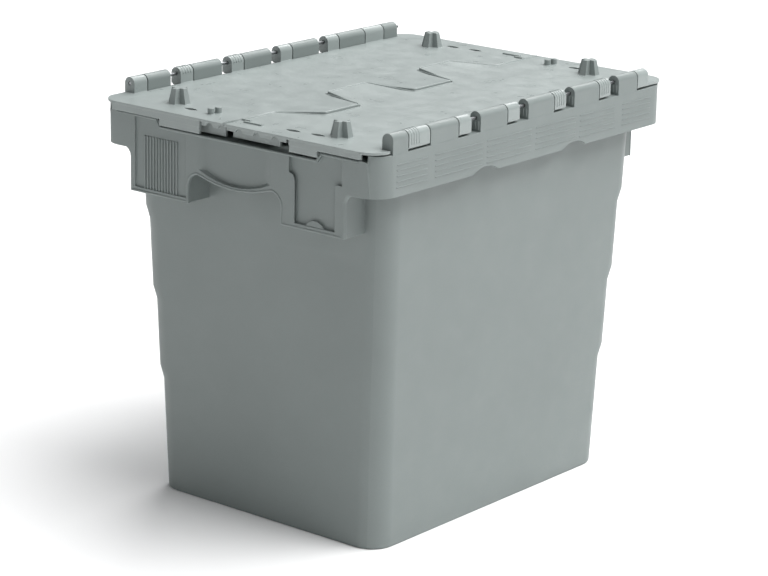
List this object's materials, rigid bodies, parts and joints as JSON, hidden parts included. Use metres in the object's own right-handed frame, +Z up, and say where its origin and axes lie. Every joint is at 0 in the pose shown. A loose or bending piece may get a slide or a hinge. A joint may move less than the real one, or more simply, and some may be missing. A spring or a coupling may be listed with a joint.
{
  "type": "attached-lid container",
  "caption": "Tapered stackable plastic storage tub with two interlocking lid halves hinged on steel wires along its long sides, hand grips and label panels at both ends.",
  "frame": {"origin": "under the middle of the floor, at the height of the surface the box stands on", "axes": "+Y along the box, +X across it towards lid_right's hinge, +Z up"},
  "size_m": [0.299, 0.4, 0.358],
  "materials": {
    "body_plastic": "fine moulded texture, cool grey",
    "lid_plastic": "fine moulded texture, cool grey",
    "steel_wire": "bright zinc"
  },
  "bodies": {
    "container": {"container_body": "body_plastic", "hinge_wire_left": "steel_wire", "hinge_wire_right": "steel_wire"},
    "lid_right": {"lid_right": "lid_plastic"},
    "lid_left": {"lid_left": "lid_plastic"}
  },
  "joints": [
    {"name": "lid_right_hinge", "type": "hinge", "parent": "container", "child": "lid_right", "pos_m": [0.1439, 0, 0.3525], "axis": [0, 1, 0], "range_deg": [0, 270]},
    {"name": "lid_left_hinge", "type": "hinge", "parent": "container", "child": "lid_left", "pos_m": [-0.1439, 0, 0.3525], "axis": [0, -1, 0], "range_deg": [0, 270]}
  ]
}
